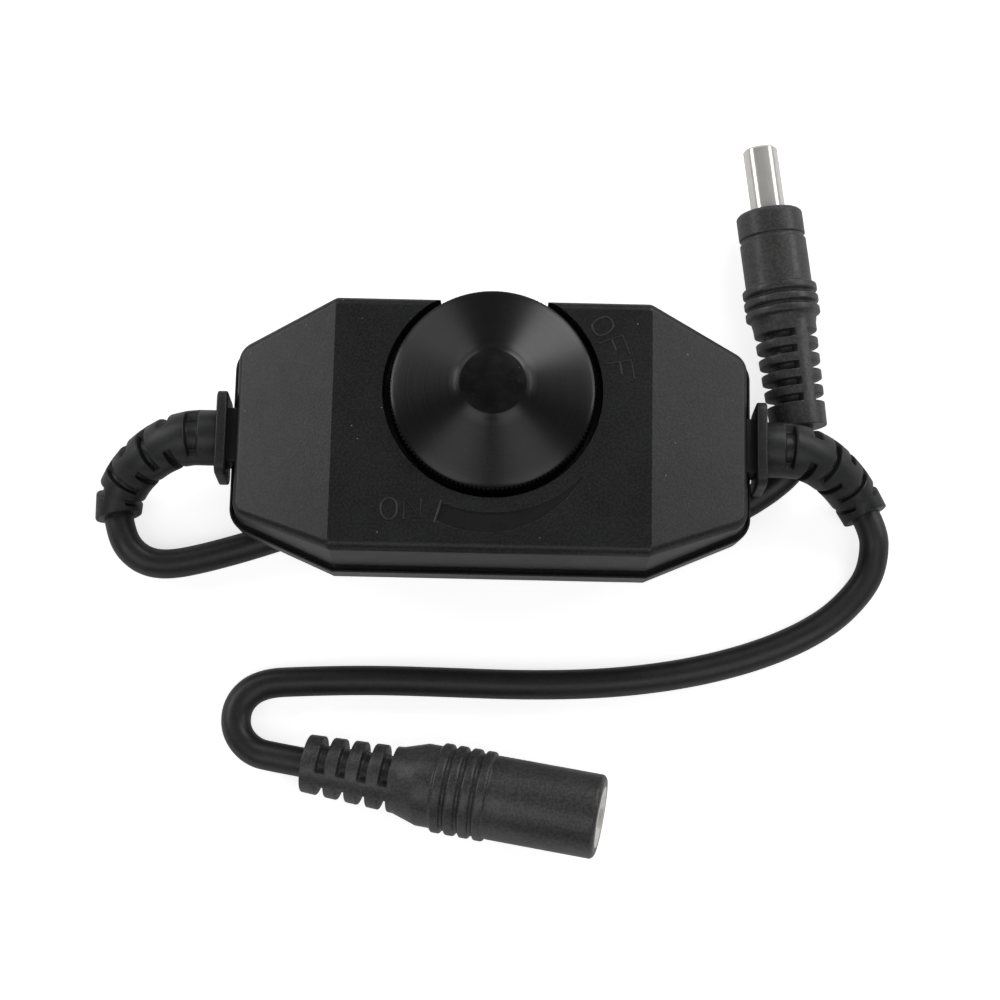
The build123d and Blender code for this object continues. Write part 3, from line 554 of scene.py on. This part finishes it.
def housing_plastic(name, dark, light, roughness):
    """Housing plastic: a coarse spark grain, pale specks of dust, and a smooth sunk crescent."""
    made = Finish(name)
    grain, mixed = made.grain(0.34, 11, 0.3)
    inside = made.combine(made.reach(DIAL_OUTER_CENTRE), DIAL_OUTER_RADIUS * MM, "LESS_THAN")
    outside = made.combine(made.reach(KNOB_AXIS), DIAL_INNER_RADIUS * MM, "GREATER_THAN")
    past_cut = made.node("ShaderNodeVectorMath", operation="DOT_PRODUCT")
    past_cut.inputs[1].default_value = (cos(DIAL_LEAN), -sin(DIAL_LEAN), 0)
    made.join(made.place, past_cut.inputs[0])
    cut = (DIAL_START[0] * cos(DIAL_LEAN) - DIAL_START[1] * sin(DIAL_LEAN)) * MM
    right = made.combine(past_cut.outputs["Value"], cut, "GREATER_THAN")
    crescent = made.combine(made.combine(inside, outside, "MULTIPLY"), right, "MULTIPLY")
    rough_skin = made.combine(1.0, made.combine(crescent, 0.75, "MULTIPLY"), "SUBTRACT")
    colour = made.blend_colours(made.combine(mixed, rough_skin, "MULTIPLY"), dark, light)
    rare = made.combine(made.noise(3.1), 0.52, "GREATER_THAN")
    specks = made.combine(made.dots(2.3, 0.03, 0.06, 0.5), rare, "MULTIPLY")
    colour = made.blend_colours(specks, colour, (0.42, 0.42, 0.4))
    made.join(colour, made.shader.inputs["Base Color"])
    made.roughen(made.noise(2.6, 2), roughness, 0.015, 0.015)
    made.bump(made.combine(grain, rough_skin, "MULTIPLY"), 0.016)
    made.set(IOR=1.5)


def metal(name, colour, roughness, share=1.0):
    """Plated or bare metal with faint rubbed marks."""
    made = Finish(name)
    tone = made.noise(1.4, 4, 0.6)
    made.join(made.blend_colours(tone, scaled(colour, 0.82), colour), made.shader.inputs["Base Color"])
    made.roughen(made.noise(0.5, 3), roughness, 0, 0.06)
    made.bump(made.noise(0.25, 2), 0.0004)
    made.set(Metallic=share)


def turned_black(name, colour, roughness):
    """Black knob face with fine turned rings round the knob's axis."""
    made = Finish(name)
    reach = made.reach(KNOB_AXIS)
    rings = made.node("ShaderNodeTexNoise", noise_dimensions="1D")
    rings.inputs["Scale"].default_value = 1 / (0.3 * MM)
    rings.inputs["Detail"].default_value = 4
    made.join(reach, rings.inputs["W"])
    grooves = rings.outputs["Fac"]
    mixed = made.combine(grooves, made.combine(made.noise(0.3, 1), 0.4, "MULTIPLY"))
    made.join(made.blend_colours(mixed, scaled(colour, 0.5), colour), made.shader.inputs["Base Color"])
    made.join(made.radial, made.shader.inputs["Tangent"])
    made.roughen(grooves, roughness, 0.02, 0.03)
    made.bump(grooves, 0.006)
    made.set(IOR=1.5, Anisotropic=0.6)


class DimmerSizes(bpy.types.PropertyGroup):
    """Sizes of the pieces that are made here."""

    lead_diameter: bpy.props.FloatProperty(
        name="Lead diameter", description="Outside diameter of both leads",
        default=0.0046, min=0.002, max=0.01, unit="LENGTH",
    )
    input_length: bpy.props.FloatProperty(
        name="Input lead", description="Length of the lead between strain relief and plug",
        default=0.1212, unit="LENGTH",
    )
    output_length: bpy.props.FloatProperty(
        name="Output lead", description="Length of the lead between strain relief and socket",
        default=0.1314, unit="LENGTH",
    )
    knurl_teeth: bpy.props.IntProperty(
        name="Knurl teeth", description="Teeth round the knob's skirt",
        default=138, min=24, max=240,
    )
    knurl_depth: bpy.props.FloatProperty(
        name="Knurl depth", description="Depth of the teeth round the knob's skirt",
        default=0.00035, min=0, max=0.001, unit="LENGTH",
    )
    stroke_width: bpy.props.FloatProperty(
        name="Letter stroke", description="Width of the raised lettering's strokes",
        default=0.0003, min=0.0001, max=0.0006, unit="LENGTH",
    )


class DimmerColours(bpy.types.PropertyGroup):
    """Colours of the finishes."""

    housing: bpy.props.FloatVectorProperty(
        name="Housing", description="Black of the housing's plastic",
        subtype="COLOR", size=3, min=0, max=1, default=(0.011, 0.0115, 0.012),
    )
    lead: bpy.props.FloatVectorProperty(
        name="Leads", description="Black of the leads' jacket",
        subtype="COLOR", size=3, min=0, max=1, default=(0.010, 0.010, 0.0098),
    )
    floor: bpy.props.FloatVectorProperty(
        name="Floor", description="Colour of the floor and the backdrop",
        subtype="COLOR", size=3, min=0, max=1, default=(0.86, 0.86, 0.86),
    )


class DIMMER_OT_stage(bpy.types.Operator):
    """Set up the camera, the floor with its low backdrop, the lamps and the world"""

    bl_idname = "dimmer.stage"
    bl_label = "Camera, floor and lamps"

    def execute(self, context):
        scene = context.scene
        place = Vector(CAMERA_PLACE)
        deselect()
        bpy.ops.object.camera_add(location=place)
        camera = context.active_object
        camera.name = "photo_camera"
        level = (Vector(CAMERA_AIM) - place).to_track_quat("-Z", "Y").to_matrix()
        camera.rotation_euler = (level @ Matrix.Rotation(radians(CAMERA_ROLL), 3, "Z")).to_euler()
        camera.data.lens = CAMERA_LENS
        camera.data.sensor_width = CAMERA_SENSOR
        camera.data.clip_start = 0.01
        camera.data.clip_end = 50
        scene.camera = camera

        deselect()
        bpy.ops.mesh.primitive_circle_add(vertices=96, radius=FLOOR_RADIUS, fill_type="NGON")
        floor = context.active_object
        floor.name = "floor"
        edit(floor)
        bpy.ops.mesh.select_mode(type="EDGE")
        bpy.ops.mesh.select_all(action="SELECT")
        bpy.ops.mesh.extrude_edges_move(TRANSFORM_OT_translate={"value": (0, 0, FLOOR_EDGE_HEIGHT)})
        leave_edit()
        paper = Finish("floor_paper")
        seen = paper.node("ShaderNodeLightPath")
        mirrored = paper.combine(
            seen.outputs["Is Glossy Ray"], seen.outputs["Is Transmission Ray"], "MAXIMUM"
        )
        glow = paper.combine(
            paper.combine(seen.outputs["Is Camera Ray"], FLOOR_GLOW, "MULTIPLY"),
            paper.combine(mirrored, MIRRORED_GLOW, "MULTIPLY"),
        )
        paper.join(glow, paper.shader.inputs["Emission Strength"])
        colour = context.scene.dimmer_colours.floor
        paper.set(Base_Color=(*colour, 1), Roughness=0.9, Emission_Color=(1, 1, 1, 1))
        floor.data.materials.append(paper.material)

        for name, azimuth, elevation, distance, width, height, power in LAMPS:
            way = radians(azimuth)
            rise = radians(elevation)
            spot = Vector((cos(way) * cos(rise), sin(way) * cos(rise), sin(rise))) * distance
            deselect()
            bpy.ops.object.light_add(type="AREA", location=spot)
            lamp = context.active_object
            lamp.name = name
            lamp.data.shape = "RECTANGLE"
            lamp.data.size = width
            lamp.data.size_y = height
            lamp.data.energy = power
            lamp.rotation_euler = (-spot).to_track_quat("-Z", "Y").to_euler()

        world = bpy.data.worlds.new("studio")
        scene.world = world
        world.use_nodes = True
        sky = world.node_tree.nodes["Background"]
        sky.inputs["Color"].default_value = (1, 1, 1, 1)
        seen = world.node_tree.nodes.new("ShaderNodeLightPath")
        level = world.node_tree.nodes.new("ShaderNodeMapRange")
        level.inputs["To Min"].default_value = WORLD_STRENGTH
        world.node_tree.links.new(seen.outputs["Is Camera Ray"], level.inputs["Value"])
        world.node_tree.links.new(level.outputs["Result"], sky.inputs["Strength"])
        scene.view_settings.view_transform = "Standard"
        return {"FINISHED"}


class DIMMER_OT_finishes(bpy.types.Operator):
    """Make every finish, and give the CAD pieces theirs"""

    bl_idname = "dimmer.finishes"
    bl_label = "Finishes"

    def execute(self, context):
        black = tuple(context.scene.dimmer_colours.housing)
        jacket = tuple(context.scene.dimmer_colours.lead)
        housing_plastic("housing_black", scaled(black, 0.1), scaled(black, 1.45), 0.41)
        moulded("lettering", (0.024, 0.024, 0.023), (0.038, 0.038, 0.036), 0.45, 0.3, 0.004)
        moulded("relief_black", scaled(black, 0.7), scaled(black, 1.6), 0.46, 0.3, 0.01)
        moulded("lead_black", scaled(jacket, 1.3), scaled(jacket, 2.0), 0.42, 0.5, 0.006)
        moulded("plug_black", scaled(jacket, 2.4), scaled(jacket, 6.2), 0.4, 0.4, 0.02)
        turned_black("knob_black", (0.0052, 0.0053, 0.0055), 0.3)
        moulded("knob_disc", (0.001, 0.001, 0.001), (0.003, 0.003, 0.0032), 0.3, 0.34, 0.006, 0.7)
        metal("nickel", (0.9, 0.88, 0.84), 0.16, 0.5)
        metal("contact_brass", (0.78, 0.6, 0.33), 0.22)
        moulded("insulator_black", (0.008, 0.008, 0.008), (0.016, 0.016, 0.016), 0.5, 0.3, 0.01)
        metal("steel", (0.6, 0.6, 0.6), 0.24)
        metal("shaft_aluminium", (0.72, 0.72, 0.73), 0.28)
        moulded("board_green", (0.01, 0.09, 0.035), (0.02, 0.15, 0.06), 0.35, 0.8, 0.008)
        moulded("chip_black", (0.012, 0.012, 0.012), (0.022, 0.022, 0.022), 0.55, 0.2, 0.01)
        moulded("capacitor_can", (0.02, 0.03, 0.09), (0.03, 0.045, 0.13), 0.3, 0.6, 0.004)
        moulded("resistor_tan", (0.5, 0.36, 0.2), (0.62, 0.46, 0.28), 0.45, 0.4, 0.01)
        moulded("wire_red", (0.42, 0.015, 0.012), (0.55, 0.025, 0.02), 0.38, 0.5, 0.004)
        moulded("wire_black", (0.01, 0.01, 0.01), (0.018, 0.018, 0.018), 0.38, 0.5, 0.004)
        for finish, names in NODES_OF_FINISH.items():
            for name in names:
                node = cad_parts[name]
                node.data.materials.clear()
                node.data.materials.append(bpy.data.materials[finish])
        return {"FINISHED"}


class DIMMER_OT_grips(bpy.types.Operator):
    """Mould the grips of the plug and the socket, with rounded edges"""

    bl_idname = "dimmer.grips"
    bl_label = "Plug and socket grips"

    def execute(self, context):
        for name, node, finish, width in ROUNDED_GRIPS:
            finish_piece(rounded_copy(name, node, width), finish, nodes=(node,))
        return {"FINISHED"}


class DIMMER_OT_leads(bpy.types.Operator):
    """Lay both leads along their routes"""

    bl_idname = "dimmer.leads"
    bl_label = "Leads"

    def execute(self, context):
        sizes = context.scene.dimmer_sizes
        for name, node, route, length, far_end, ends in (
            ("input_lead", "plug_lead", INPUT_ROUTE, sizes.input_length, "plug", (
                "plug_grip", "plug_barrel", "plug_insulator", "plug_inner_contact",
            )),
            ("output_lead", "socket_lead", OUTPUT_ROUTE, sizes.output_length, "connector", (
                "socket_grip", "socket_shell", "socket_insulator", "socket_pin", "socket_spring",
            )),
        ):
            line = bpy.data.curves.new(name, "CURVE")
            line.dimensions = "3D"
            spline = line.splines.new("NURBS")
            spline.points.add(len(route) - 1)
            for point, place in zip(spline.points, route):
                point.co = (*millimetres(place), 1)
            spline.order_u = 3
            spline.use_endpoint_u = True
            line.resolution_u = 10
            line.bevel_depth = sizes.lead_diameter / 2
            line.bevel_resolution = 8
            line.use_fill_caps = True
            lead = bpy.data.objects.new(name, line)
            context.collection.objects.link(lead)
            finish_piece(lead, "lead_black", nodes=(node,))
        return {"FINISHED"}


class DIMMER_OT_shells(bpy.types.Operator):
    """Mould the housing's two shells, with rounded edges"""

    bl_idname = "dimmer.shells"
    bl_label = "Housing shells"

    def execute(self, context):
        for name, node, finish, width, sharpest in ROUNDED_SHELLS:
            finish_piece(rounded_copy(name, node, width, sharpest), finish, nodes=(node,))
        return {"FINISHED"}


class DIMMER_OT_reliefs(bpy.types.Operator):
    """Mould both strain reliefs straight, press their crossed slots and bend them down to their tips"""

    bl_idname = "dimmer.reliefs"
    bl_label = "Strain reliefs"

    def execute(self, context):
        for name, node, side, tip, heading, handles in RELIEFS:
            route = bend_route(side, tip, heading, handles)
            boss = RELIEF_BEND_X - RELIEF_FLANGE_X
            run = route.data.splines[0].calc_length() / MM - boss
            slot = (run - RELIEF_TIP_LENGTH - (RELIEF_SLOTS - 1) * RELIEF_RING) / RELIEF_SLOTS
            rings = [(RELIEF_BOSS, 0), (RELIEF_BOSS, boss)]
            starts = []
            along = 0
            for number in range(RELIEF_SLOTS):
                starts.append(along)
                ring = RELIEF_RING if number < RELIEF_SLOTS - 1 else RELIEF_TIP_LENGTH
                for along in (along + slot, along + slot + ring):
                    rings.append((RELIEF_BOSS + (RELIEF_TIP - RELIEF_BOSS) * along / run, boss + along))
            relief = turn(name, rings, 48)
            for number, start in enumerate(starts):
                share = RELIEF_CORE / (RELIEF_BOSS + (RELIEF_TIP - RELIEF_BOSS) * start / run)
                way = 90 * (number % 2)
                press_slot(
                    relief, boss + start, boss + start + slot, RELIEF_CORE, share, RELIEF_WEB, way,
                )
            add_modifier(
                relief, "BEVEL", width=RELIEF_EDGE * MM, segments=3, limit_method="ANGLE",
                angle_limit=radians(40), use_clamp_overlap=False,
            )
            add_modifier(relief, "CURVE", object=route, deform_axis="POS_Z")
            bpy.data.objects.remove(route)
            blocks = [
                rounded_block(f"{name}_block", size, (side * middle, 0, RELIEF_LEVEL), corner)
                for size, middle, corner in RELIEF_BLOCKS
            ]
            take(*blocks, relief)
            bpy.ops.object.join()
            shade(relief, 38)
            finish_piece(relief, "relief_black", nodes=(node,))
        return {"FINISHED"}


class DIMMER_OT_knob(bpy.types.Operator):
    """Turn the knob, knurl its skirt and hollow its underside"""

    bl_idname = "dimmer.knob"
    bl_label = "Knob"

    def execute(self, context):
        sizes = context.scene.dimmer_sizes
        teeth = sizes.knurl_teeth
        root = KNOB_RADIUS - sizes.knurl_depth / MM
        # The disc and its chamfer, the cone, and the face's rounded edge
        cone_top = KNOB_PEAK - 0.44
        rings = [
            (KNOB_DISC_RADIUS, KNOB_PEAK), (5.05, KNOB_PEAK - 0.04),
            (5.75, KNOB_PEAK - 0.38), (KNOB_CONE_START, cone_top),
        ]
        rings += [(KNOB_CONE_START + 0.925 * n, cone_top - 0.296 * n) for n in range(1, 10)]
        rings += [
            (14.93, KNOB_RIM + 0.02), (15.1, KNOB_RIM - 0.06), (15.32, KNOB_RIM - 0.24),
            (15.36, KNOB_RIM - 0.46), (15.3, KNOB_RIM - 0.54), (root, KNOB_RIM - 0.6),
        ]
        # The skirt that the teeth are drawn out of, then the hollow, the hub and its bore
        rings += [
            (root, KNURL_TOP + 0.12), (root, KNURL_TOP - 0.1),
            (root, KNOB_FOOT + 0.25), (root - 0.25, KNOB_FOOT),
            (KNOB_HOLLOW_RADIUS, KNOB_FOOT), (KNOB_HOLLOW_RADIUS, KNOB_HOLLOW_FLOOR),
            (KNOB_HUB_RADIUS, KNOB_HOLLOW_TOP), (KNOB_HUB_RADIUS, KNOB_HOLLOW_FLOOR),
            (KNOB_BORE_RADIUS, KNOB_HOLLOW_FLOOR), (KNOB_BORE_RADIUS, KNOB_BORE_TOP),
        ]
        knob = turn("knob_turned", rings, teeth * 2)
        edit(knob)

        def on_tooth(place):
            if not KNOB_FOOT + 0.1 < place.z < KNURL_TOP:
                return False
            steps = atan2(place.y, place.x) / pi * teeth
            return abs(place.xy.length - root) < 0.05 and round(steps) % 2 == 0

        select_vertices(knob, on_tooth)
        share = KNOB_RADIUS / root
        bpy.ops.transform.resize(value=(share, share, 1), center_override=(0, 0, 0))
        leave_edit()
        put_at(knob, Matrix.Translation(millimetres((*KNOB_AXIS, 0))))
        shade(knob, 28)
        finish_piece(knob, "knob_black", body="knob", nodes=("knob",))
        # The flat disc in the middle is matt
        knob.data.materials.append(bpy.data.materials["knob_disc"])
        for face in knob.data.polygons:
            if face.center.z > (KNOB_PEAK - 0.01) * MM:
                face.material_index = 1
        return {"FINISHED"}


class DIMMER_OT_lettering(bpy.types.Operator):
    """Raise the words ON and OFF, and the stroke that starts the dial mark, on the housing's face"""

    bl_idname = "dimmer.lettering"
    bl_label = "Lettering"

    def execute(self, context):
        radius = context.scene.dimmer_sizes.stroke_width / MM / 2
        for name, place, outward, strokes, loop in LETTERS:
            turned = outward - 90 if outward else 0
            letter = raised_strokes(name, strokes, loop, radius, place, turned)
            finish_piece(letter, "lettering")
        mark = raised_strokes("dial_stroke", (DIAL_STROKE,), (), radius * DIAL_STROKE_SHARE, (0, 0), 0)
        finish_piece(mark, "lettering")
        return {"FINISHED"}


class DIMMER_PT_panel(bpy.types.Panel):
    """Lists the steps that build the dimmer, and its sizes and colours"""

    bl_idname = "DIMMER_PT_panel"
    bl_label = "Dimmer"
    bl_space_type = "VIEW_3D"
    bl_region_type = "UI"
    bl_category = "Dimmer"

    def draw(self, context):
        for step in STEPS:
            self.layout.operator(step.bl_idname)
        for group in (context.scene.dimmer_sizes, context.scene.dimmer_colours):
            for name in group.__annotations__:
                self.layout.prop(group, name)


STEPS = (
    DIMMER_OT_stage,
    DIMMER_OT_finishes,
    DIMMER_OT_grips,
    DIMMER_OT_leads,
    DIMMER_OT_shells,
    DIMMER_OT_reliefs,
    DIMMER_OT_knob,
    DIMMER_OT_lettering,
)
CLASSES = (DimmerSizes, DimmerColours, *STEPS, DIMMER_PT_panel)


def register():
    for item in CLASSES:
        bpy.utils.register_class(item)
    bpy.types.Scene.dimmer_sizes = bpy.props.PointerProperty(type=DimmerSizes)
    bpy.types.Scene.dimmer_colours = bpy.props.PointerProperty(type=DimmerColours)


def unregister():
    del bpy.types.Scene.dimmer_colours
    del bpy.types.Scene.dimmer_sizes
    for item in reversed(CLASSES):
        bpy.utils.unregister_class(item)


def main():
    register()
    for step in STEPS:
        group, name = step.bl_idname.split(".")
        getattr(getattr(bpy.ops, group), name)()


if __name__ == "__main__":
    main()
